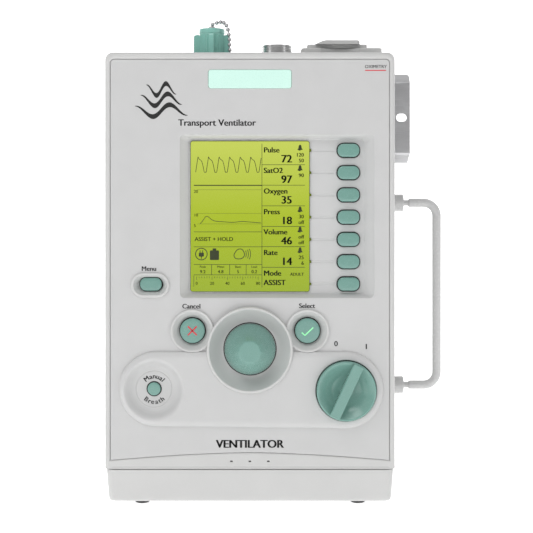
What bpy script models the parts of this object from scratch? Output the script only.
"""Portable transport ventilator: a case with a control panel, gas connectors on top and a side handle.

Every size below is in millimetres, and the helper functions turn it into metres.
The case stands on its feet, faces -Y and has its handle on +X. The sub-parts hang from one empty,
which puts the whole object's bounding box centred over the origin with its feet at Z = 0.
"""

import math

import bmesh
import bpy
from mathutils import Matrix

MM = 0.001

# ---- Driving dimensions ----
CASE_WIDTH = 203.2
CASE_TOP = 317.5
CASE_DEPTH = 98.0
WALL = 3.0
GAP = 0.3
HALF_WIDTH = CASE_WIDTH / 2
FRONT_Y = -CASE_DEPTH / 2
BACK_Y = CASE_DEPTH / 2
SPLIT_Y = -26.6
CORNER = 5.5

# Base tray and feet, below the two case halves.
FOOT_HEIGHT = 2.2
FOOT_RADIUS = 5.5
FOOT_X, FOOT_Y = 76.3, 36.0
BASE_BOTTOM = FOOT_HEIGHT + GAP
BASE_TOP = 25.3
CASE_BOTTOM = BASE_TOP + 0.6

# Control panel: depths are measured forward from the panel's face, so a recess is negative.
PANEL_HALF = 97.5
PANEL_TOP = 312.3
PANEL_CORNER = 2.5
ARCH_SIDE, ARCH_MIDDLE = 32.0, 37.4
PANEL_GAP = 0.5
PANEL_THICKNESS = 3.0
LEDGE = 3.0
POD_HALF, POD_RADIUS, POD_Z, POD_RAISE = 92.0, 26.8, 81.9, 3.0

ENCODER_Z = 109.2
ENCODER_RIM, ENCODER_FLOOR = 30.2, 19.0
ENCODER_LIP, ENCODER_DEPTH = 4.5, -6.0
ENCODER_TIP = 16.0
ENCODER_RADIUS = 18.0

ROUND_X, ROUND_Z = 40.3, 122.4
ROUND_RIM, ROUND_FLOOR, ROUND_RADIUS = 15.0, 9.8, 8.8
WELL_LIP, WELL_DEPTH = 1.0, -4.0

KEY_X, KEY_TOP_Z, KEY_PITCH = 69.2, 248.9, 15.66
KEY_LENGTH, KEY_HEIGHT = 15.2, 9.3
KEY_NAMES = ("heart_rate", "saturation", "oxygen", "pressure", "volume", "rate", "mode")
MENU_X, MENU_Z = -69.4, 155.0
MENU_RIM_LENGTH, MENU_RIM_HEIGHT = 26.6, 17.6

MANUAL_X, MANUAL_Z = -67.2, 81.6
MANUAL_RIM, MANUAL_FLOOR, MANUAL_RADIUS = 21.0, 12.7, 4.6
MANUAL_DEPTH = -3.0

POWER_X, POWER_Z = 67.2, 80.9
POWER_RADIUS, POWER_POCKET, POWER_TIP = 20.8, 21.3, 10.0

SCREEN_LOW, SCREEN_HIGH = (-42.0, 149.4), (42.0, 255.6)
RECESS_LOW, RECESS_HIGH = (-48.7, 145.5), (86.7, 259.4)
RECESS_FLOOR_LOW, RECESS_FLOOR_HIGH = (-42.4, 149.0), (80.0, 256.0)
RECESS_DEPTH = -6.0

LIGHT_Z, LIGHT_LENGTH, LIGHT_HEIGHT = 298.6, 58.0, 12.8

KEY_CLEARANCE = 0.5
KEY_TRAVEL = 0.8
BOARD_FRONT = -15.4

# Top connectors.
TRAY_LOW_X, TRAY_HIGH_X, TRAY_LOW_Y, TRAY_HIGH_Y = -92.0, 33.5, -20.0, 36.0
TRAY_FLOOR = 309.5
OXYGEN_X, OXYGEN_Y = -28.4, -4.0
CAP_BOTTOM, CAP_TOP, CAP_RADIUS, CAP_REACH = 314.0, 339.6, 9.4, 13.3
OUTLET_X, OUTLET_Y, OUTLET_TOP = 19.1, -5.0, 327.3
STEM_BOTTOM = 300.5
BARB_Y, EXHALATION_X, TRANSDUCER_X = 24.0, -6.0, -20.0
ANCHOR_X, ANCHOR_Y, ANCHOR_BOTTOM = -11.5, -14.0, 305.0

# Air intake.
INTAKE_LOW_X, INTAKE_HIGH_X, INTAKE_LOW_Y, INTAKE_HIGH_Y = 36.8, 95.2, -20.0, 38.0
INTAKE_TOP = 324.2
FILTER_X, FILTER_Y, FILTER_RADIUS = 63.0, 7.0, 17.0
LID_X, LID_HALF, LID_FRONT_Y = 63.0, 21.8, -13.0
LID_LOW, LID_HIGH, TAB_TOP = INTAKE_TOP + GAP, 327.6, 329.8
PIN_Y, PIN_Z, PIN_RADIUS, KNUCKLE_RADIUS = 32.0, 327.0, 1.0, 2.4
KNUCKLE_HALF, LUG_REACH = 8.5, 13.5

# Side handle and bracket.
HANDLE_X, HANDLE_LOW_Z, HANDLE_HIGH_Z, HANDLE_RADIUS, HANDLE_BEND = 136.9, 78.5, 212.4, 3.2, 9.5
BOSS_RADIUS, BOSS_END, NECK_END, NECK_RADIUS = 6.35, 112.2, 116.2, 2.1
BRACKET_REACH, BRACKET_LOW, BRACKET_HIGH, BRACKET_BEND = 117.2, 241.8, 308.0, 6.7
BRACKET_THICKNESS = 2.5
BRACKET_SCREW_Z = (258.0, 292.0)

# Parts inside the case.
BLOWER_X, BLOWER_Z, BLOWER_RADIUS, BLOWER_LOW_Y, BLOWER_HIGH_Y = -48.0, 95.0, 38.0, -2.0, 24.0
FAN_X, FAN_Z, FAN_HALF, FAN_LOW_Y, FAN_HIGH_Y = 50.0, 92.0, 30.0, 30.0, 45.0
SPEAKER_X, SPEAKER_Z, SPEAKER_RADIUS = 55.0, 215.0, 20.0
PORT_Z = 281.0
PORT_FLOOR_Y = 41.5
POWER_PORT_X, DATA_PORT_X = -76.0, -46.0

# The bounding box runs from the left side to the handle, and from the encoder knob to the case's back.
ORIGIN_X = (HANDLE_X + HANDLE_RADIUS - HALF_WIDTH) / 2
ORIGIN_Y = (FRONT_Y - ENCODER_TIP + BACK_Y) / 2

FACING = {
    "up": (0, 0, 0),
    "front": (math.pi / 2, 0, 0),
    "back": (-math.pi / 2, 0, 0),
    "right": (math.pi / 2, 0, math.pi / 2),
}

for old in list(bpy.data.objects):
    bpy.data.objects.remove(old)

parts = bpy.data.collections.new("transport_ventilator")
cutters = bpy.data.collections.new("cutters")
for collection in (parts, cutters):
    bpy.context.scene.collection.children.link(collection)

frame = bpy.data.objects.new("ventilator_frame", None)
frame.location = (-ORIGIN_X * MM, -ORIGIN_Y * MM, 0)
parts.objects.link(frame)


def material(name, color, roughness, metallic=0.0):
    made = bpy.data.materials.new(name)
    made.use_nodes = True
    shader = made.node_tree.nodes["Principled BSDF"]
    shader.inputs["Base Color"].default_value = (*color, 1)
    shader.inputs["Roughness"].default_value = roughness
    shader.inputs["Metallic"].default_value = metallic
    return made


CASE = material("case_plastic", (0.80, 0.80, 0.79), 0.45)
PANEL = material("panel_plastic", (0.70, 0.70, 0.70), 0.5)
TEAL = material("teal_plastic", (0.23, 0.42, 0.38), 0.4)
GREEN = material("oxygen_green", (0.05, 0.36, 0.28), 0.3)
LENS = material("light_lens", (0.70, 1.0, 0.88), 0.2)
SCREEN = material("screen_glass", (0.52, 0.65, 0.08), 0.1)
STEEL = material("steel", (0.70, 0.70, 0.70), 0.2, 1.0)
ALUMINIUM = material("aluminium", (0.62, 0.62, 0.63), 0.35, 1.0)
ENAMEL = material("white_enamel", (0.78, 0.78, 0.78), 0.35)
RUBBER = material("black_rubber", (0.02, 0.02, 0.02), 0.8)
BOARD = material("circuit_board", (0.02, 0.16, 0.07), 0.5)
BLACK = material("black_plastic", (0.03, 0.03, 0.03), 0.5)
FOAM = material("filter_foam", (0.15, 0.15, 0.16), 0.9)


# ---- Modelling helpers ----


def add(name, mesh, at=(0, 0, 0), facing="up", finish=None):
    """Links a mesh as an object of the ventilator, or as a hidden cutter when it has no finish."""
    made = bpy.data.objects.new(name, mesh)
    made.location = [value * MM for value in at]
    made.rotation_euler = FACING[facing]
    made.parent = frame
    if finish is None:
        cutters.objects.link(made)
        made.hide_render = True
        made.display_type = "WIRE"
    else:
        parts.objects.link(made)
        mesh.materials.append(finish)
    return made


def mesh_of(bm, smooth=True):
    mesh = bpy.data.meshes.new("shape")
    bmesh.ops.recalc_face_normals(bm, faces=bm.faces)
    bm.to_mesh(mesh)
    bm.free()
    if smooth:
        mesh.shade_smooth()
        mesh.set_sharp_from_angle(angle=math.radians(35))
    return mesh


def box(name, low, high, finish=None, bevel=0.0):
    """A box between two corners, with its origin at its centre."""
    bm = bmesh.new()
    bmesh.ops.create_cube(bm, size=1)
    bmesh.ops.scale(bm, vec=[(b - a) * MM for a, b in zip(low, high)], verts=bm.verts)
    middle = [(a + b) / 2 for a, b in zip(low, high)]
    made = add(name, mesh_of(bm, smooth=False), middle, finish=finish)
    if bevel:
        edge = made.modifiers.new("rounded_edges", "BEVEL")
        edge.width = bevel * MM
        edge.segments = 2
    return made


def cylinder(name, radius, length, at, facing="up", finish=None, end_radius=None, segments=32):
    """A cylinder or cone that starts at a point and runs the way it faces."""
    bm = bmesh.new()
    bmesh.ops.create_cone(
        bm,
        cap_ends=True,
        segments=segments,
        radius1=radius * MM,
        radius2=(radius if end_radius is None else end_radius) * MM,
        depth=length * MM,
        matrix=Matrix.Translation((0, 0, length * MM / 2)),
    )
    return add(name, mesh_of(bm), at, facing, finish)


def grown(name, outline, steps, at, facing="up", finish=None):
    """A solid grown from a flat outline: each step insets the end face, then extrudes it."""
    bm = bmesh.new()
    end = bm.faces.new([bm.verts.new((x * MM, y * MM, 0)) for x, y in outline])
    end.normal_update()
    if end.normal.z < 0:
        end.normal_flip()
    for inset, rise in steps:
        if inset:
            bmesh.ops.inset_region(bm, faces=[end], thickness=inset * MM, use_even_offset=True)
        if rise:
            moved = bmesh.ops.extrude_face_region(bm, geom=[end, *end.edges])["geom"]
            points = [item for item in moved if isinstance(item, bmesh.types.BMVert)]
            end = next(item for item in moved if isinstance(item, bmesh.types.BMFace))
            bmesh.ops.translate(bm, vec=(0, 0, rise * MM), verts=points)
    return add(name, mesh_of(bm), at, facing, finish)


def turned(name, profile, at, facing="up", finish=None, steps=32):
    """A solid of revolution about its own Z, from a profile that runs down its outer side."""
    mesh = bpy.data.meshes.new("profile")
    points = [(x * MM, 0, z * MM) for x, z in profile]
    mesh.from_pydata(points, [(i, i + 1) for i in range(len(points) - 1)], [])
    made = add(name, mesh, at, facing, finish)
    screw = made.modifiers.new("turned", "SCREW")
    screw.steps = steps
    screw.render_steps = steps
    screw.use_merge_vertices = True
    screw.merge_threshold = 0.00001
    screw.use_smooth_shade = True
    return made


def boolean(target, operation, *tools):
    for tool in tools:
        change = target.modifiers.new(operation.lower(), "BOOLEAN")
        change.operation = operation
        change.object = tool
    return target


def cut(target, *tools):
    return boolean(target, "DIFFERENCE", *tools)


def join(target, *tools):
    return boolean(target, "UNION", *tools)


def arc(center_x, center_y, radius, start, end, steps):
    """Points along an arc, angles in degrees."""
    turn = [math.radians(start + (end - start) * i / steps) for i in range(steps + 1)]
    return [(center_x + radius * math.cos(a), center_y + radius * math.sin(a)) for a in turn]


def rounded_box(low, high, radius, steps=4):
    (x0, y0), (x1, y1) = low, high
    r = radius
    return (
        arc(x1 - r, y0 + r, r, -90, 0, steps)
        + arc(x1 - r, y1 - r, r, 0, 90, steps)
        + arc(x0 + r, y1 - r, r, 90, 180, steps)
        + arc(x0 + r, y0 + r, r, 180, 270, steps)
    )


def stadium(length, height, steps=10):
    """A slot shape with full round ends, centred on its own origin."""
    r = height / 2
    x = length / 2 - r
    return arc(x, 0, r, -90, 90, steps) + arc(-x, 0, r, 90, 270, steps)


def quarter_round(radius, steps=3):
    """Inset and extrude steps that follow a quarter circle, for the rounded end of a grown solid."""
    angles = [math.pi / 2 * i / steps for i in range(steps + 1)]
    return [
        (radius * (math.cos(a) - math.cos(b)), radius * (math.sin(b) - math.sin(a)))
        for a, b in zip(angles, angles[1:])
    ]


def mesh_from_curve(curve, name, finish):
    """Turns a bevelled curve into a closed mesh object, so that it can be joined or cut."""
    graph = bpy.context.evaluated_depsgraph_get()
    mesh = bpy.data.meshes.new_from_object(curve.evaluated_get(graph))
    bm = bmesh.new()
    bm.from_mesh(mesh)
    bmesh.ops.remove_doubles(bm, verts=bm.verts, dist=0.00001)
    bm.to_mesh(mesh)
    bm.free()
    place = curve.matrix_world.copy()
    bpy.data.objects.remove(curve)
    made = add(name, mesh, finish=finish)
    made.matrix_world = place
    return made


def tube(name, points, radius, finish, bevel_resolution=2, radii=None):
    """A round bar along a list of points, with filled ends."""
    data = bpy.data.curves.new(name, "CURVE")
    data.dimensions = "3D"
    data.bevel_depth = radius * MM
    data.bevel_resolution = bevel_resolution
    data.use_fill_caps = True
    spline = data.splines.new("POLY")
    spline.points.add(len(points) - 1)
    for i, point in enumerate(points):
        spline.points[i].co = (*[value * MM for value in point], 1)
        spline.points[i].radius = radii[i] if radii else 1.0
    made = bpy.data.objects.new(name, data)
    made.parent = frame
    parts.objects.link(made)
    data.materials.append(finish)
    return made


def on_panel(x, z, forward):
    """A point at this height and distance forward of the control panel's face."""
    return (x, FRONT_Y - forward, z)


# ---- Case halves, seal, base and feet ----


def case_outline(inset, below=0.0):
    """The case seen from the front, with round top corners; below carries it on past its lower edge."""
    half, bottom, top = HALF_WIDTH - inset, CASE_BOTTOM + inset - below, CASE_TOP - inset
    r = max(CORNER - inset, 1.0)
    lower_edge = [(-half, bottom), (half, bottom)]
    return lower_edge + arc(half - r, top - r, r, 0, 90, 4) + arc(-half + r, top - r, r, 90, 180, 4)


def trim_lower_edge(casing):
    """Cuts a casing off square where it meets the base."""
    low = (-HALF_WIDTH - 5, FRONT_Y - 5, CASE_BOTTOM - 20)
    return cut(casing, box("lower_edge", low, (HALF_WIDTH + 5, BACK_Y + 5, CASE_BOTTOM)))


def panel_outline(grow):
    """The control panel's outline: round top corners and an arched lower edge."""
    half = PANEL_HALF + grow
    top = PANEL_TOP + grow
    arch_steps = 16
    across = [half * (2 * i / arch_steps - 1) for i in range(arch_steps + 1)]
    rise = ARCH_MIDDLE - ARCH_SIDE
    arch = [(x, ARCH_SIDE - grow + rise * (1 - (x / half) ** 2)) for x in across]
    r = PANEL_CORNER
    return arch + arc(half - r, top - r, r, 0, 90, 3) + arc(-half + r, top - r, r, 90, 180, 3)


def make_front_casing():
    back = SPLIT_Y - 0.7
    straight = back - FRONT_Y - 3.0
    steps = [(0, straight)] + quarter_round(3.0)
    casing = grown("front_casing", case_outline(0, 10), steps, (0, back, 0), "front", CASE)
    trim_lower_edge(casing)
    ledge_back = FRONT_Y + PANEL_THICKNESS + GAP + 2.0
    cavity_depth = back + 1 - ledge_back
    cavity = grown("front_cavity", case_outline(WALL), [(0, cavity_depth)], (0, back + 1, 0), "front")
    pocket_back = FRONT_Y + PANEL_THICKNESS + GAP
    pocket = grown("panel_pocket", panel_outline(PANEL_GAP), [(0, 5)], (0, pocket_back, 0), "front")
    window = grown("panel_opening", panel_outline(-LEDGE), [(0, 9)], (0, ledge_back + 2, 0), "front")
    cut(casing, cavity, pocket, window)
    for i, x in enumerate((-12.9, 0.0, 12.9)):
        low = (x - 1.1, FRONT_Y - 1, 30.6)
        cut(casing, box(f"indicator_hole_{i}", low, (x + 1.1, FRONT_Y + 1.5, 31.8)))


def make_rear_casing():
    front = SPLIT_Y + 0.7
    steps = [(0, BACK_Y - front - 5.0)] + quarter_round(5.0)
    outer = [(x, -z) for x, z in case_outline(0, 10)]
    casing = grown("rear_casing", outer, steps, (0, front, 0), "back", CASE)
    trim_lower_edge(casing)
    inner = [(x, -z) for x, z in case_outline(WALL)]
    depth = BACK_Y - WALL - front + 1
    cavity_steps = [(0, depth - 2)] + quarter_round(2.0, 1)
    cut(casing, grown("rear_cavity", inner, cavity_steps, (0, front - 1, 0), "back"))
    bay_low, bay_high = (-94.0, 36.0, PORT_Z - 21), (-28.0, 47.5, PORT_Z + 21)
    join(casing, box("port_bay_wall", bay_low, bay_high))
    pocket_low, pocket_high = (-91.0, PORT_FLOOR_Y, PORT_Z - 18), (-31.0, BACK_Y + 1, PORT_Z + 18)
    cut(casing, box("port_bay", pocket_low, pocket_high))
    cut(casing, cylinder("power_port_hole", 8.3, 12, (POWER_PORT_X, 34, PORT_Z), "back"))
    data_hole = stadium(20.6, 10.6)
    cut(casing, grown("data_port_hole", data_hole, [(0, 12)], (DATA_PORT_X, 34, PORT_Z), "back"))
    tray_low = (TRAY_LOW_X - GAP, TRAY_LOW_Y - GAP, 300)
    cut(casing, box("tray_opening", tray_low, (TRAY_HIGH_X + GAP, TRAY_HIGH_Y + GAP, CASE_TOP + 1)))
    cut(casing, cylinder("intake_opening", 20.3, 12, (FILTER_X, FILTER_Y, CASE_TOP - 8)))
    for i in range(6):
        z = FAN_Z - 20 + 8 * i
        half = math.sqrt(25.0**2 - (z - FAN_Z) ** 2)
        low = (FAN_X - half, BACK_Y - WALL - 1, z - 1.5)
        cut(casing, box(f"fan_slot_{i}", low, (FAN_X + half, BACK_Y + 1, z + 1.5)))
    for i in range(6):
        turn = math.radians(60 * i)
        at = (SPEAKER_X + 9 * math.cos(turn), BACK_Y - WALL - 1, SPEAKER_Z + 9 * math.sin(turn))
        cut(casing, cylinder(f"speaker_hole_{i}", 1.6, WALL + 2, at, "back", segments=10))


def make_case_seal():
    seal = grown("casing_seal", case_outline(0.6), [(0, 0.8)], (0, SPLIT_Y + 0.4, 0), "front", RUBBER)
    cut(seal, grown("seal_hole", case_outline(2.4), [(0, 4)], (0, SPLIT_Y + 2, 0), "front"))


def make_base():
    """The battery tray under the case, which narrows a little towards the feet."""
    low = (-HALF_WIDTH + 0.5, FRONT_Y + 0.5)
    high = (HALF_WIDTH - 0.5, BACK_Y - 0.5)
    outline = rounded_box(low, high, CORNER)
    tray = grown("base_tray", outline, [(0, BASE_TOP - BASE_BOTTOM)], (0, 0, BASE_BOTTOM), finish=CASE)
    mesh = tray.data
    narrow = (HALF_WIDTH - 3.0) / (HALF_WIDTH - 0.5)
    for vertex in mesh.vertices:
        if vertex.co.z < 0.001:
            vertex.co.x *= narrow
            vertex.co.y *= narrow
    edge = tray.modifiers.new("rounded_foot_edge", "BEVEL")
    edge.width = 2.0 * MM
    edge.segments = 2
    edge.angle_limit = math.radians(60)
    inner = rounded_box((low[0] + 5.5, low[1] + 5.5), (high[0] - 5.5, high[1] - 5.5), 3.0)
    cut(tray, grown("battery_space", inner, [(0, 30)], (0, 0, BASE_BOTTOM + 3)))
    battery_low = (-84, -38, BASE_BOTTOM + 3.5)
    box("battery_pack", battery_low, (84, 38, BASE_TOP - 1.0), BLACK, bevel=2.0)
    for side, x in (("left", -FOOT_X), ("right", FOOT_X)):
        for end, y in (("front", -FOOT_Y), ("rear", FOOT_Y)):
            profile = [(0, FOOT_HEIGHT), (FOOT_RADIUS, FOOT_HEIGHT), (FOOT_RADIUS, 0.7)]
            profile += [(FOOT_RADIUS - 0.8, 0), (0, 0)]
            turned(f"foot_{end}_{side}", profile, (x, y, 0), finish=RUBBER, steps=20)


# ---- Control panel ----


def make_control_panel():
    floor = FRONT_Y + PANEL_THICKNESS
    panel = grown("control_panel", panel_outline(0), [(0, PANEL_THICKNESS)], (0, floor, 0), "front", PANEL)
    pod = stadium(2 * POD_HALF, 2 * POD_RADIUS, 12)
    pod_steps = [(0, PANEL_THICKNESS - 0.5 + 1.5)] + quarter_round(POD_RAISE - 1.5, 2)
    join(panel, grown("pod", pod, pod_steps, (0, floor - 0.5, POD_Z), "front"))

    def housing(name, radius, back, front, x, z, segments=40):
        at = on_panel(x, z, back)
        return cylinder(name, radius, front - back, at, "front", segments=segments)

    join(panel, housing("encoder_cup", ENCODER_RIM + 0.8, ENCODER_DEPTH - 2.5, ENCODER_LIP, 0, ENCODER_Z))
    for side, x in (("left", -ROUND_X), ("right", ROUND_X)):
        join(panel, housing(f"round_cup_{side}", ROUND_RIM + 0.7, WELL_DEPTH - 2, WELL_LIP, x, ROUND_Z))
    join(panel, housing("manual_cup", MANUAL_RIM + 1.0, MANUAL_DEPTH - 2.2, 0.5, MANUAL_X, MANUAL_Z))
    join(panel, housing("power_cup", POWER_POCKET + 2.0, -5.2, 0.4, POWER_X, POWER_Z))
    menu_rim = stadium(MENU_RIM_LENGTH + 1.2, MENU_RIM_HEIGHT + 1.2)
    menu_back = WELL_DEPTH - 2
    menu_at = on_panel(MENU_X, MENU_Z, menu_back)
    join(panel, grown("menu_cup", menu_rim, [(0, WELL_LIP - menu_back)], menu_at, "front"))
    tray_low = (RECESS_LOW[0] - 1.8, FRONT_Y + 1.0, RECESS_LOW[1] - 1.8)
    tray_high = (RECESS_HIGH[0] + 1.8, FRONT_Y - RECESS_DEPTH + 2.4, RECESS_HIGH[1] + 1.8)
    join(panel, box("recess_tray", tray_low, tray_high))

    cut_wells(panel)
    cut_button_holes(panel)


def cut_wells(panel):
    """The sloping wells around the controls, each cut by a cone or a narrowing slot."""

    def cone(name, rim, floor_radius, front, depth, x, z):
        slope = (rim - floor_radius) / (front - depth)
        start = rim + slope
        at = on_panel(x, z, depth)
        return cylinder(name, floor_radius, front - depth + 1, at, "front", end_radius=start, segments=40)

    rim = ENCODER_RIM - 1.4
    cut(panel, cone("encoder_well", rim, ENCODER_FLOOR, ENCODER_LIP, ENCODER_DEPTH, 0, ENCODER_Z))
    for side, x in (("left", -ROUND_X), ("right", ROUND_X)):
        well = cone(f"round_well_{side}", ROUND_RIM - 1, ROUND_FLOOR, WELL_LIP, WELL_DEPTH, x, ROUND_Z)
        cut(panel, well)
    well = cone("manual_well", MANUAL_RIM, MANUAL_FLOOR, POD_RAISE, MANUAL_DEPTH, MANUAL_X, MANUAL_Z)
    cut(panel, well)
    pocket_at = on_panel(POWER_X, POWER_Z, -3.0)
    cut(panel, cylinder("power_pocket", POWER_POCKET, 8, pocket_at, "front", segments=40))
    inset = 2.4
    slot = stadium(MENU_RIM_LENGTH + 1.0, MENU_RIM_HEIGHT + 1.0)
    depth = WELL_LIP - WELL_DEPTH
    menu_at = on_panel(MENU_X, MENU_Z, WELL_LIP + 2)
    cut(panel, grown("menu_well", slot, [(0, 2), (inset, depth)], menu_at, "back"))
    # The recess cutter is a tapered block, wider at its mouth than at its floor.
    mouth = rounded_box(RECESS_LOW, RECESS_HIGH, 3.0)
    recess = grown("screen_recess", mouth, [(0, 2), (0, -RECESS_DEPTH)], on_panel(0, 0, 2), "front")
    for vertex in recess.data.vertices:
        vertex.co.z = -vertex.co.z
    recess.data.flip_normals()
    taper_recess(recess.data)
    cut(panel, recess)


def taper_recess(mesh):
    """Moves the inner end of the recess cutter in to the outline of the recess floor."""
    deepest = min(vertex.co.z for vertex in mesh.vertices)
    for vertex in mesh.vertices:
        if vertex.co.z < deepest + 0.0001:
            for axis in (0, 1):
                share = (vertex.co[axis] / MM - RECESS_LOW[axis]) / (RECESS_HIGH[axis] - RECESS_LOW[axis])
                floor_low, floor_high = RECESS_FLOOR_LOW[axis], RECESS_FLOOR_HIGH[axis]
                vertex.co[axis] = (floor_low + share * (floor_high - floor_low)) * MM


def cut_button_holes(panel):
    hole_depth = 12
    hole = stadium(KEY_LENGTH + 2 * KEY_CLEARANCE, KEY_HEIGHT + 2 * KEY_CLEARANCE, 6)
    for i, name in enumerate(KEY_NAMES):
        at = on_panel(KEY_X, KEY_TOP_Z - i * KEY_PITCH, -15)
        cut(panel, grown(f"key_hole_{name}", hole, [(0, hole_depth)], at, "front"))
    at = on_panel(MENU_X, MENU_Z, -15)
    cut(panel, grown("menu_hole", hole, [(0, 13)], at, "front"))
    for side, x in (("left", -ROUND_X), ("right", ROUND_X)):
        at = on_panel(x, ROUND_Z, -15)
        radius = ROUND_RADIUS + KEY_CLEARANCE
        cut(panel, cylinder(f"round_hole_{side}", radius, 13, at, "front"))
    at = on_panel(MANUAL_X, MANUAL_Z, -15)
    cut(panel, cylinder("manual_hole", MANUAL_RADIUS + KEY_CLEARANCE, 14, at, "front", segments=24))
    cut(panel, cylinder("encoder_bore", 4.0, 14, on_panel(0, ENCODER_Z, -15), "front", segments=20))
    cut(panel, cylinder("power_bore", 4.6, 14, on_panel(POWER_X, POWER_Z, -15), "front", segments=20))
    half, rise = LIGHT_LENGTH / 2 + GAP, LIGHT_HEIGHT / 2 + GAP
    lens = rounded_box((-half, -rise), (half, rise), 2.0)
    cut(panel, grown("light_opening", lens, [(0, 10)], on_panel(0, LIGHT_Z, -7), "front"))
    low = (SCREEN_LOW[0] + 2, FRONT_Y - RECESS_DEPTH - 1, SCREEN_LOW[1] + 2)
    high = (SCREEN_HIGH[0] - 2, FRONT_Y - RECESS_DEPTH + 5, SCREEN_HIGH[1] - 2)
    cut(panel, box("screen_opening", low, high))


def make_display():
    """The alarm light bar and the screen, each with its lens and the part behind it."""
    half, rise = LIGHT_LENGTH / 2, LIGHT_HEIGHT / 2
    outline = rounded_box((-half, -rise), (half, rise), 1.8)
    lens_steps = [(0, 2.8)] + quarter_round(0.6, 2)
    grown("light_bar_lens", outline, lens_steps, on_panel(0, LIGHT_Z, -3.0), "front", LENS)
    board_low = (-34, FRONT_Y + 6.2, LIGHT_Z - 7)
    board = box("alarm_light_board", board_low, (34, FRONT_Y + 7.8, LIGHT_Z + 7), BOARD)
    for i in range(4):
        x = -22.5 + 15 * i
        chip_low = (x - 2, FRONT_Y + 4.8, LIGHT_Z - 2)
        join(board, box(f"light_chip_{i}", chip_low, (x + 2, FRONT_Y + 6.5, LIGHT_Z + 2)))
    glass = rounded_box(SCREEN_LOW, SCREEN_HIGH, 3.0)
    grown("screen_window", glass, [(0, 0.9)], on_panel(0, 0, RECESS_DEPTH + GAP), "front", SCREEN)
    back = FRONT_Y - RECESS_DEPTH + 2.4 + GAP
    module_low = (SCREEN_LOW[0] - 1, back, SCREEN_LOW[1] - 3)
    box("lcd_module", module_low, (SCREEN_HIGH[0] + 1, back + 6.0, SCREEN_HIGH[1] + 3), BLACK, bevel=0.8)


def key_shape(name, outline, flange_outline, x, z, front, floor_back, finish):
    """A push button: a stem that meets the switch, a flange behind the panel and a rounded cap."""
    flange_front = floor_back - GAP
    flange_back = flange_front - 1.2
    switch = BOARD_FRONT + KEY_TRAVEL + 0.4
    cap_back = flange_back + 0.6
    cap_steps = [(0, front - cap_back - 0.8)] + quarter_round(0.8, 2)
    key = grown(name, outline, cap_steps, on_panel(x, z, cap_back), "front", finish)
    flange_steps = [(0, flange_front - flange_back)]
    flange = grown(f"{name}_flange", flange_outline, flange_steps, on_panel(x, z, flange_back), "front")
    stem_length = flange_back + 0.5 - switch
    stem = cylinder(f"{name}_stem", 2.0, stem_length, on_panel(x, z, switch), "front", segments=10)
    return join(key, flange, stem)


def circle(radius, segments):
    return arc(0, 0, radius, 0, 360 * (1 - 1 / segments), segments - 1)


def make_buttons():
    slot = stadium(KEY_LENGTH, KEY_HEIGHT, 6)
    flange = stadium(KEY_LENGTH + 2.6, KEY_HEIGHT + 2.6, 6)
    recess_back = RECESS_DEPTH - 2.4
    for i, name in enumerate(KEY_NAMES):
        z = KEY_TOP_Z - i * KEY_PITCH
        key_shape(f"{name}_button", slot, flange, KEY_X, z, -2.6, recess_back, TEAL)
    well_back = WELL_DEPTH - 2
    key_shape("menu_button", slot, flange, MENU_X, MENU_Z, -0.8, well_back, TEAL)
    disc = circle(ROUND_RADIUS, 28)
    disc_flange = circle(ROUND_RADIUS + 1.4, 28)
    key_shape("cancel_button", disc, disc_flange, -ROUND_X, ROUND_Z, -1.0, well_back, TEAL)
    key_shape("select_button", disc, disc_flange, ROUND_X, ROUND_Z, -1.0, well_back, TEAL)
    small = circle(MANUAL_RADIUS, 20)
    small_flange = circle(MANUAL_RADIUS + 1.4, 20)
    cup_back = MANUAL_DEPTH - 2.2
    key_shape("manual_breath_button", small, small_flange, MANUAL_X, MANUAL_Z, -1.2, cup_back, TEAL)


def make_keypad_board():
    """The switch board behind the panel, with a raised switch under each button."""
    front = FRONT_Y - BOARD_FRONT
    board = box("keypad_board", (-84, front, 68), (84, front + 1.6, 262), BOARD)
    cut(board, cylinder("board_power_hole", 15.5, 6, (POWER_X, front - 2, POWER_Z), "back"))
    cut(board, cylinder("board_encoder_hole", 3.6, 6, (0, front - 2, ENCODER_Z), "back", segments=16))


def make_encoder():
    """The selector knob, which turns without end, and the encoder that it drives."""
    height = ENCODER_TIP - ENCODER_DEPTH - 0.5
    r = ENCODER_RADIUS
    dome = [(0, height), (7.2, height), (8.6, height - 0.8), (9.6, height - 3)]
    side = [(11.6, 13.5), (14.2, 8.5), (16.4, 4.5), (r - 0.3, 1.6), (r, 0.6), (r - 0.4, 0)]
    shaft = [(3.0, 0), (3.0, -10.4), (0, -10.4)]
    at = on_panel(0, ENCODER_Z, ENCODER_DEPTH + 0.5)
    turned("encoder_knob", dome + side + shaft, at, "front", TEAL, steps=36)
    back = BOARD_FRONT + GAP
    front = ENCODER_DEPTH - 2.5 - GAP
    half = 7.0
    low, high = (-half, FRONT_Y - front, ENCODER_Z - half), (half, FRONT_Y - back, ENCODER_Z + half)
    body = box("encoder_body", low, high, ALUMINIUM)
    bore_at = on_panel(0, ENCODER_Z, back - 1)
    cut(body, cylinder("encoder_body_bore", 3.4, 10, bore_at, "front", segments=20))


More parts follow.
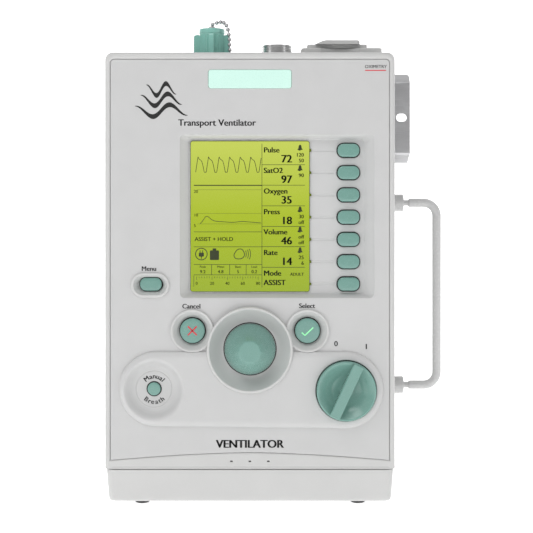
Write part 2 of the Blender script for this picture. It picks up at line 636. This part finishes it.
def make_power_knob():
    """The rotary power switch: a dished knob with a grip bar, on a switch body."""
    r = POWER_RADIUS
    base = -2.6
    rim = POWER_TIP - 2.5
    profile = [(0, rim - 6.5), (6, rim - 6.2), (12, rim - 4.6), (16.5, rim - 1.8), (18.6, rim)]
    profile += [(r - 0.8, rim), (r, rim - 0.8), (r, base), (3.6, base), (3.6, -15), (0, -15)]
    knob = turned("power_knob", profile, on_panel(POWER_X, POWER_Z, 0), "front", TEAL, steps=40)
    bar_outline = rounded_box((-3.8, -20.2), (3.8, 20.2), 1.2, 2)
    bar = grown("grip_bar", bar_outline, [(0, 8.5)] + quarter_round(1.0, 2), (0, 0, 0))
    bar.parent = knob
    bar.location = (0, 0, (POWER_TIP - 9.5) * MM)
    bar.rotation_euler = (0, 0, math.radians(-25))
    join(knob, bar)
    body = cylinder("power_switch", 12.0, 16, on_panel(POWER_X, POWER_Z, -21.6), "front", BLACK)
    cut(body, cylinder("switch_bore", 4.2, 20, on_panel(POWER_X, POWER_Z, -17.5), "front", segments=20))


# ---- Connectors on top ----


def make_connector_tray():
    low = (TRAY_LOW_X, TRAY_LOW_Y, TRAY_FLOOR - WALL)
    tray = box("connector_tray", low, (TRAY_HIGH_X, TRAY_HIGH_Y, CASE_TOP - 0.3), CASE)
    inner_low = (TRAY_LOW_X + 2.5, TRAY_LOW_Y + 2.5, TRAY_FLOOR)
    cut(tray, box("tray_space", inner_low, (TRAY_HIGH_X - 2.5, TRAY_HIGH_Y - 2.5, CASE_TOP + 3)))
    for name, x, y, radius in (
        ("oxygen", OXYGEN_X, OXYGEN_Y, 6.3),
        ("outlet", OUTLET_X, OUTLET_Y, 10.4),
        ("exhalation", EXHALATION_X, BARB_Y, 3.3),
        ("transducer", TRANSDUCER_X, BARB_Y, 3.3),
        ("anchor", ANCHOR_X, ANCHOR_Y, 1.6),
    ):
        cut(tray, cylinder(f"{name}_hole", radius, 8, (x, y, TRAY_FLOOR - 5), segments=20))


def barb_port(name, x, y, bore, finish):
    """A small hose barb with a flange that sits on the tray and a stem through it."""
    flange = TRAY_FLOOR + GAP
    stem = STEM_BOTTOM - flange
    profile = [(bore, 9.0), (2.2, 9.0), (3.0, 7.0), (2.3, 6.6), (2.3, 5.2), (3.0, 3.2), (2.4, 2.8)]
    profile += [(2.4, 2.0), (5.0, 2.0), (5.0, 0), (3.0, 0), (3.0, stem), (bore, stem), (bore, 9.0)]
    turned(name, profile, (x, y, flange), finish=finish, steps=16)


def make_oxygen_inlet():
    """The threaded oxygen fitting with its winged screw cap, the cap's swivel and its bead chain."""
    flange = TRAY_FLOOR + GAP
    bore = 3.2
    thread, root, pitch, turns = 7.1, 6.6, 1.411, 9
    tip, collar = 335.0, 313.4
    profile = [(bore, tip), (root, tip)]
    for i in range(turns):
        top = tip - pitch - i * pitch
        profile += [(thread, top), (root, top - pitch / 2)]
    profile += [(root, collar + 0.2), (9.5, collar), (9.5, flange), (6.0, flange)]
    profile += [(6.0, STEM_BOTTOM), (bore, STEM_BOTTOM), (bore, tip)]
    at = (OXYGEN_X, OXYGEN_Y, 0)
    turned("oxygen_fitting", profile, at, finish=STEEL, steps=20)

    inner, roof = 7.7, CAP_TOP - 3.6
    shell = [(1.5, CAP_TOP), (CAP_RADIUS - 0.8, CAP_TOP), (CAP_RADIUS, CAP_TOP - 0.8)]
    shell += [(CAP_RADIUS, CAP_BOTTOM), (inner, CAP_BOTTOM), (inner, roof), (1.5, roof), (1.5, CAP_TOP)]
    cap = turned("oxygen_cap", shell, at, finish=GREEN, steps=32)
    wing_top = 335.5
    for i in range(4):
        outline = rounded_box((inner + 0.9, CAP_BOTTOM), (CAP_REACH, wing_top), 1.8, 3)
        wing = grown(f"cap_wing_{i}", outline, [(0, 3.8)], (0, 1.9, 0), "front")
        hub = bpy.data.objects.new(f"wing_hub_{i}", None)
        cutters.objects.link(hub)
        hub.parent = frame
        hub.location = [value * MM for value in at]
        hub.rotation_euler = (0, 0, math.radians(90 * i))
        wing.parent = hub
        join(cap, wing)

    above, below = CAP_TOP + GAP, roof - GAP
    swivel = [(0, CAP_TOP + 2.2), (1.4, CAP_TOP + 2.2), (2.6, CAP_TOP + 1.4), (2.6, above), (1.1, above)]
    swivel += [(1.1, below), (2.2, below), (2.2, roof - 1.0), (0, roof - 1.0)]
    turned("cap_swivel", swivel, at, finish=STEEL, steps=16)
    make_bead_chain()


def chain_route():
    """The chain's centreline: up from the swivel, over the cap's shoulder and down to its anchor."""
    x, y = OXYGEN_X, OXYGEN_Y
    return (
        (x + 0.4, y - 0.3, CAP_TOP + 3.6),
        (x + 3.5, y - 1.5, CAP_TOP + 4.6),
        (x + 7.0, y - 4.2, CAP_TOP + 4.9),
        (x + 10.2, y - 7.4, CAP_TOP + 2.9),
        (x + 12.2, y - 9.4, CAP_TOP - 2.0),
        (x + 13.0, y - 10.2, CAP_TOP - 9.0),
        (x + 13.4, y - 10.4, CAP_TOP - 17.0),
        (x + 15.0, y - 10.2, CAP_TOP - 23.0),
        (x + 16.9, y - 10.0, CAP_TOP - 26.4),
    )


def curve_value(t, before, start, end, after):
    """One coordinate of a smooth curve from start to end, which also leans on the values either side."""
    bend = 2 * before - 5 * start + 4 * end - after
    twist = 3 * start - before - 3 * end + after
    return 0.5 * (2 * start + (end - before) * t + bend * t**2 + twist * t**3)


def spaced_points(route, step):
    """Points a fixed distance apart along a smooth curve through the route's points."""
    fine = []
    padded = [route[0], *route, route[-1]]
    for a, b, c, d in zip(padded, padded[1:], padded[2:], padded[3:]):
        for i in range(40):
            t = i / 40
            fine.append(tuple(curve_value(t, *values) for values in zip(a, b, c, d)))
    points, run = [fine[0]], 0.0
    for before, after in zip(fine, fine[1:]):
        run += math.dist(before, after)
        if run >= step:
            points.append(after)
            run = 0.0
    return points


def make_bead_chain():
    """One closed solid: the bar's radius swells into a bead once every pitch."""
    bead, wire, pitch, samples = 1.65, 0.5, 4.5, 6
    points = spaced_points(chain_route(), pitch / samples)
    radii = []
    for i in range(len(points)):
        along = ((i % samples) - (samples - 1) / 2) * pitch / samples
        swell = math.sqrt(max(bead**2 - along**2, 0.0))
        radii.append(max(swell, wire) / bead)
    tube("bead_chain", points, bead, STEEL, bevel_resolution=1, radii=radii)
    top = TRAY_FLOOR + GAP
    profile = [(0, top + 1.6), (1.6, top + 1.6), (2.4, top + 0.8), (2.4, top), (1.3, top)]
    profile += [(1.3, ANCHOR_BOTTOM), (0, ANCHOR_BOTTOM)]
    turned("chain_anchor", profile, (ANCHOR_X, ANCHOR_Y, 0), finish=STEEL, steps=14)


def make_gas_outlet():
    """The conical breathing-gas outlet, 22 mm across."""
    flange = TRAY_FLOOR + GAP
    bore, tip, base = 9.4, 10.9, 11.3
    profile = [(bore, OUTLET_TOP), (tip - 0.4, OUTLET_TOP), (tip, OUTLET_TOP - 0.5), (base, flange + 2.5)]
    profile += [(11.6, flange + 2.5), (11.6, flange), (bore + 0.4, flange), (bore + 0.4, STEM_BOTTOM)]
    profile += [(bore - 1.4, STEM_BOTTOM), (bore - 1.4, 307.0), (bore, 307.5), (bore, OUTLET_TOP)]
    turned("gas_outlet", profile, (OUTLET_X, OUTLET_Y, 0), finish=STEEL, steps=36)


def make_air_intake():
    """The air intake: a housing with a filter inside, under a hinged lid with a pull tab."""
    base = CASE_TOP + GAP
    outline = rounded_box((INTAKE_LOW_X, INTAKE_LOW_Y), (INTAKE_HIGH_X, INTAKE_HIGH_Y), 4.0)
    block = grown("intake_housing", outline, [(0, INTAKE_TOP - base)], (0, 0, base), finish=CASE)
    join(block, cylinder("intake_neck", 19.8, 17, (FILTER_X, FILTER_Y, 301.5)))
    cut(block, cylinder("filter_space", FILTER_RADIUS + 0.4, 30, (FILTER_X, FILTER_Y, 304.0)))
    cut(block, cylinder("intake_throat", 10.0, 10, (FILTER_X, FILTER_Y, 298.0)))
    scoop_radius, scoop_depth = 20.0, 6.0
    scoop_at = (65.0, INTAKE_LOW_Y + scoop_depth - scoop_radius, base - 1)
    cut(block, cylinder("finger_scoop", scoop_radius, 10, scoop_at, segments=48))
    slots = {"left": (INTAKE_LOW_X - 1, FILTER_X - 10), "right": (FILTER_X + 10, INTAKE_HIGH_X + 1)}
    for side, (low_x, high_x) in slots.items():
        slot_low, slot_high = (low_x, FILTER_Y - 9, base + 1.6), (high_x, FILTER_Y + 9, base + 4.4)
        cut(block, box(f"air_slot_{side}", slot_low, slot_high))
    for side, sign in (("left", -1), ("right", 1)):
        inner, outer = sorted((LID_X + sign * (KNUCKLE_HALF + 0.4), LID_X + sign * LUG_REACH))
        lug = box(f"hinge_foot_{side}", (inner, PIN_Y - 2.3, INTAKE_TOP - 1), (outer, PIN_Y + 2.3, PIN_Z))
        lug_at = (inner, PIN_Y, PIN_Z)
        barrel = cylinder(f"hinge_lug_{side}", KNUCKLE_RADIUS, outer - inner, lug_at, "right", segments=20)
        join(block, lug, barrel)
    length = 2 * LUG_REACH + 4
    bore_at = (LID_X - length / 2, PIN_Y, PIN_Z)
    cut(block, cylinder("lug_bore", PIN_RADIUS + 0.3, length, bore_at, "right", segments=16))
    pin_half = LUG_REACH + 0.4
    pin_at = (LID_X - pin_half, PIN_Y, PIN_Z)
    cylinder("lid_hinge_pin", PIN_RADIUS, 2 * pin_half, pin_at, "right", STEEL, segments=12)
    cylinder("intake_filter", FILTER_RADIUS, 14.0, (FILTER_X, FILTER_Y, 304.6), finish=FOAM, segments=28)

    low, high = (-LID_HALF, LID_FRONT_Y - PIN_Y), (LID_HALF, -3.0)
    pivot = (LID_X, PIN_Y, PIN_Z)
    lid_steps = [(0, LID_HIGH - LID_LOW - 0.8)] + quarter_round(0.8, 2)
    lid = grown("intake_lid", rounded_box(low, high, 2.5), lid_steps, pivot, finish=CASE)
    for vertex in lid.data.vertices:
        vertex.co.z += (LID_LOW - PIN_Z) * MM
    tab = rounded_box((51.0, INTAKE_LOW_Y + 0.8), (79.0, PIN_Y - 6.0), 2.5)
    tab_low = LID_HIGH - 0.6
    tab_steps = [(0, TAB_TOP - tab_low - 0.8)] + quarter_round(0.8, 2)
    join(lid, grown("pull_tab", tab, tab_steps, (0, 0, tab_low)))
    bridge_low = (LID_X - KNUCKLE_HALF, PIN_Y - 5, LID_LOW + 0.2)
    bridge = box("knuckle_bridge", bridge_low, (LID_X + KNUCKLE_HALF, PIN_Y, LID_HIGH - 0.2))
    knuckle_at = (LID_X - KNUCKLE_HALF, PIN_Y, PIN_Z)
    knuckle = cylinder("lid_knuckle", KNUCKLE_RADIUS, 2 * KNUCKLE_HALF, knuckle_at, "right", segments=20)
    join(lid, bridge, knuckle)
    cut(lid, cylinder("knuckle_bore", PIN_RADIUS + 0.3, length, bore_at, "right", segments=16))


# ---- Handle and bracket on the right side ----


def make_handle():
    bend, z0, z1 = HANDLE_BEND, HANDLE_LOW_Z, HANDLE_HIGH_Z
    lower = arc(HANDLE_X - bend, z0 + bend, bend, -90, 0, 6)
    upper = arc(HANDLE_X - bend, z1 - bend, bend, 0, 90, 6)
    path = [(NECK_END, z0), *lower, *upper, (NECK_END, z1)]
    curve = tube("handle_path", [(x, 0, z) for x, z in path], HANDLE_RADIUS, ENAMEL, bevel_resolution=4)
    bar = mesh_from_curve(curve, "handle_bar", ENAMEL)
    boss_start = HALF_WIDTH + GAP
    for side, z in (("lower", z0), ("upper", z1)):
        neck_start = boss_start + 3.0
        neck_at, neck_length = (neck_start, 0, z), NECK_END + 1.5 - neck_start
        join(bar, cylinder(f"neck_{side}", NECK_RADIUS, neck_length, neck_at, "right", segments=14))
        end, r = BOSS_END - boss_start, BOSS_RADIUS
        profile = [(0, end - 8), (2.5, end - 8), (2.5, end), (r - 0.8, end), (r, end - 0.8), (r, 0), (0, 0)]
        turned(f"handle_boss_{side}", profile, (boss_start, 0, z), "right", ENAMEL, steps=24)


def make_side_bracket():
    """A bent plate that stands out from the case, with a slot for a strap or a bolt."""
    start = HALF_WIDTH + GAP
    t, bend = BRACKET_THICKNESS, BRACKET_BEND
    low, high = BRACKET_LOW, BRACKET_HIGH
    strip = [(bend, low), (0, low + bend), (0, high - bend), (bend, high)]
    back = [(y + t, z) for y, z in reversed(strip)]
    length = BRACKET_REACH - start
    plate = grown("side_bracket", strip + back, [(0, length)], (start, 0, 0), "right", ALUMINIUM)
    join(plate, box("bracket_foot", (start, 1.2, low + bend + 2), (start + t, 22.0, high - bend - 2)))
    corner = 3.0
    edge = BRACKET_REACH + 0.1
    outline = [(start - 1, low - 1), (edge - 1.5, low - 1), (edge, low + bend + 1), (edge, high - corner)]
    outline += arc(BRACKET_REACH - corner, high - corner, corner, 0, 90, 4)[1:]
    outline += [(start - 1, high + 0.1)]
    boolean(plate, "INTERSECT", grown("bracket_trim", outline, [(0, 60)], (0, 40, 0), "front"))
    slot = stadium(7.9, 5.9, 6)
    cut(plate, grown("bracket_slot", slot, [(0, 20)], (111.2, 8, 275.3), "front"))
    for side, z in zip(("lower", "upper"), BRACKET_SCREW_Z):
        cut(plate, cylinder(f"bracket_hole_{side}", 2.3, 8, (start - 2, 14.0, z), "right", segments=14))
        head = [(0, t + 2.6), (2.6, t + 2.6), (3.6, t + 1.6), (3.6, t + GAP), (1.9, t + GAP)]
        head += [(1.9, -0.1), (0, -0.1)]
        turned(f"bracket_screw_{side}", head, (start, 14.0, z), "right", STEEL, steps=14)


# ---- Parts inside the case ----


def make_frame_and_boards():
    chassis = box("chassis_plate", (-90, -25.0, 34), (90, -23.0, 296), ALUMINIUM)
    for i, (x, z) in enumerate(((-45, 210), (45, 210), (0, 130))):
        cut(chassis, box(f"chassis_window_{i}", (x - 25, -27, z - 22), (x + 25, -21, z + 22)))
    board = box("main_board", (-82, -19.6, 140), (82, -18.0, 292), BOARD)
    join(board, box("processor", (-16, -18.4, 200), (16, -15.6, 232)))
    join(board, box("memory", (28, -18.4, 205), (48, -16.2, 226)))


def make_gas_path():
    block = box("gas_manifold", (-42, -14, 262), (33, 12, STEM_BOTTOM - GAP), ALUMINIUM, bevel=1.5)
    join(block, cylinder("valve_coil", 9.0, 18, (-24, 11, 281), "back", segments=20))
    side = BLOWER_HIGH_Y - BLOWER_LOW_Y
    at = (BLOWER_X, BLOWER_LOW_Y, BLOWER_Z)
    housing = cylinder("blower_housing", BLOWER_RADIUS, side, at, "back", BLACK, segments=32)
    duct_low = (BLOWER_X + 18, BLOWER_LOW_Y + 3, BLOWER_Z)
    join(housing, box("blower_duct", duct_low, (BLOWER_X + 36, BLOWER_HIGH_Y - 3, BLOWER_Z + 60)))
    space_at = (BLOWER_X, BLOWER_LOW_Y + 3, BLOWER_Z)
    cut(housing, cylinder("blower_space", BLOWER_RADIUS - 3, side - 6, space_at, "back"))
    cut(housing, cylinder("blower_eye", 14, 8, (BLOWER_X, BLOWER_LOW_Y - 2, BLOWER_Z), "back", segments=24))
    shaft_hole_at = (BLOWER_X, BLOWER_HIGH_Y - 5, BLOWER_Z)
    cut(housing, cylinder("blower_shaft_hole", 3.2, 8, shaft_hole_at, "back", segments=16))
    impeller_at = (BLOWER_X, BLOWER_HIGH_Y - 7.5, BLOWER_Z)
    impeller = cylinder("blower_impeller", 32.0, 2.5, impeller_at, "back", TEAL, segments=28)
    hub_at = (BLOWER_X, BLOWER_LOW_Y + 5, BLOWER_Z)
    join(impeller, cylinder("impeller_hub", 7.0, 14, hub_at, "back", segments=16))
    shaft_at = (BLOWER_X, BLOWER_HIGH_Y - 6, BLOWER_Z)
    join(impeller, cylinder("impeller_shaft", 2.2, 13, shaft_at, "back", segments=12))
    for i in range(6):
        blade = box(f"blade_{i}", (14, -13.0, -1.0), (31, 0.5, 1.0))
        spin = bpy.data.objects.new(f"blade_hub_{i}", None)
        cutters.objects.link(spin)
        spin.parent = frame
        spin.location = [value * MM for value in impeller_at]
        spin.rotation_euler = (0, math.radians(60 * i), 0)
        blade.parent = spin
        join(impeller, blade)
    motor_at = (BLOWER_X, BLOWER_HIGH_Y + GAP, BLOWER_Z)
    motor = cylinder("blower_motor", 18.0, 18, motor_at, "back", STEEL, segments=24)
    bore_at = (BLOWER_X, BLOWER_HIGH_Y - 2, BLOWER_Z)
    cut(motor, cylinder("motor_bore", 2.7, 12, bore_at, "back", segments=14))


def make_fan():
    """The cooling fan behind the slots in the back."""
    low = (FAN_X - FAN_HALF, FAN_LOW_Y, FAN_Z - FAN_HALF)
    body = box("fan_frame", low, (FAN_X + FAN_HALF, FAN_HIGH_Y, FAN_Z + FAN_HALF), BLACK)
    cut(body, cylinder("fan_bore", 27.5, 20, (FAN_X, FAN_LOW_Y - 2, FAN_Z), "back"))
    hub_at = (FAN_X, FAN_LOW_Y, FAN_Z)
    for name, across, up in (("level", 29, 1.5), ("upright", 1.5, 29)):
        strut_low = (FAN_X - across, FAN_LOW_Y, FAN_Z - up)
        join(body, box(f"fan_strut_{name}", strut_low, (FAN_X + across, FAN_LOW_Y + 2, FAN_Z + up)))
    join(body, cylinder("fan_motor", 10, 3, hub_at, "back", segments=20))
    rotor = cylinder("fan_rotor", 11, 10, (FAN_X, FAN_LOW_Y + 3.6, FAN_Z), "back", BLACK, segments=20)
    for i in range(7):
        blade = box(f"fan_blade_{i}", (9, -4.0, -0.8), (25.5, 4.0, 0.8))
        spin = bpy.data.objects.new(f"fan_blade_hub_{i}", None)
        cutters.objects.link(spin)
        spin.parent = frame
        spin.location = [value * MM for value in (FAN_X, FAN_LOW_Y + 8.8, FAN_Z)]
        spin.rotation_euler = (0, math.radians(360 * i / 7), 0)
        blade.parent = spin
        blade.rotation_euler = (math.radians(35), 0, 0)
        join(rotor, blade)


def make_speaker_and_ports():
    at = (SPEAKER_X, BACK_Y - WALL - GAP - 12, SPEAKER_Z)
    profile = [(0, 10.5), (6, 10.5), (17, 12), (SPEAKER_RADIUS, 12), (SPEAKER_RADIUS, 10)]
    profile += [(13, 5), (12, 0), (0, 0)]
    turned("speaker", profile, at, "back", BLACK, steps=24)
    top = PORT_FLOOR_Y + GAP
    shell = [(0, -5.0), (5.4, -5.0), (5.4, 6.0), (7.2, 6.0), (7.6, 5.6), (7.6, 1.6)]
    shell += [(10.5, 1.6), (10.5, 0), (8.0, 0), (8.0, -9), (0, -9)]
    turned("power_inlet", shell, (POWER_PORT_X, top, PORT_Z), "back", STEEL, steps=24)
    port = grown("data_port", stadium(24, 14), [(0, 1.6)], (DATA_PORT_X, top, PORT_Z), "back", STEEL)
    join(port, grown("data_port_body", stadium(20, 10), [(0, 14)], (DATA_PORT_X, top - 9, PORT_Z), "back"))
    socket_low = (DATA_PORT_X - 6.4, top - 5, PORT_Z - 2.6)
    cut(port, box("data_socket", socket_low, (DATA_PORT_X + 6.4, top + 8, PORT_Z + 2.6)))


make_front_casing()
make_rear_casing()
make_case_seal()
make_base()
make_control_panel()
make_display()
make_buttons()
make_keypad_board()
make_encoder()
make_power_knob()
make_connector_tray()
barb_port("exhalation_port", EXHALATION_X, BARB_Y, 1.3, STEEL)
barb_port("transducer_port", TRANSDUCER_X, BARB_Y, 1.3, ALUMINIUM)
make_oxygen_inlet()
make_gas_outlet()
make_air_intake()
make_handle()
make_side_bracket()
make_frame_and_boards()
make_gas_path()
make_fan()
make_speaker_and_ports()
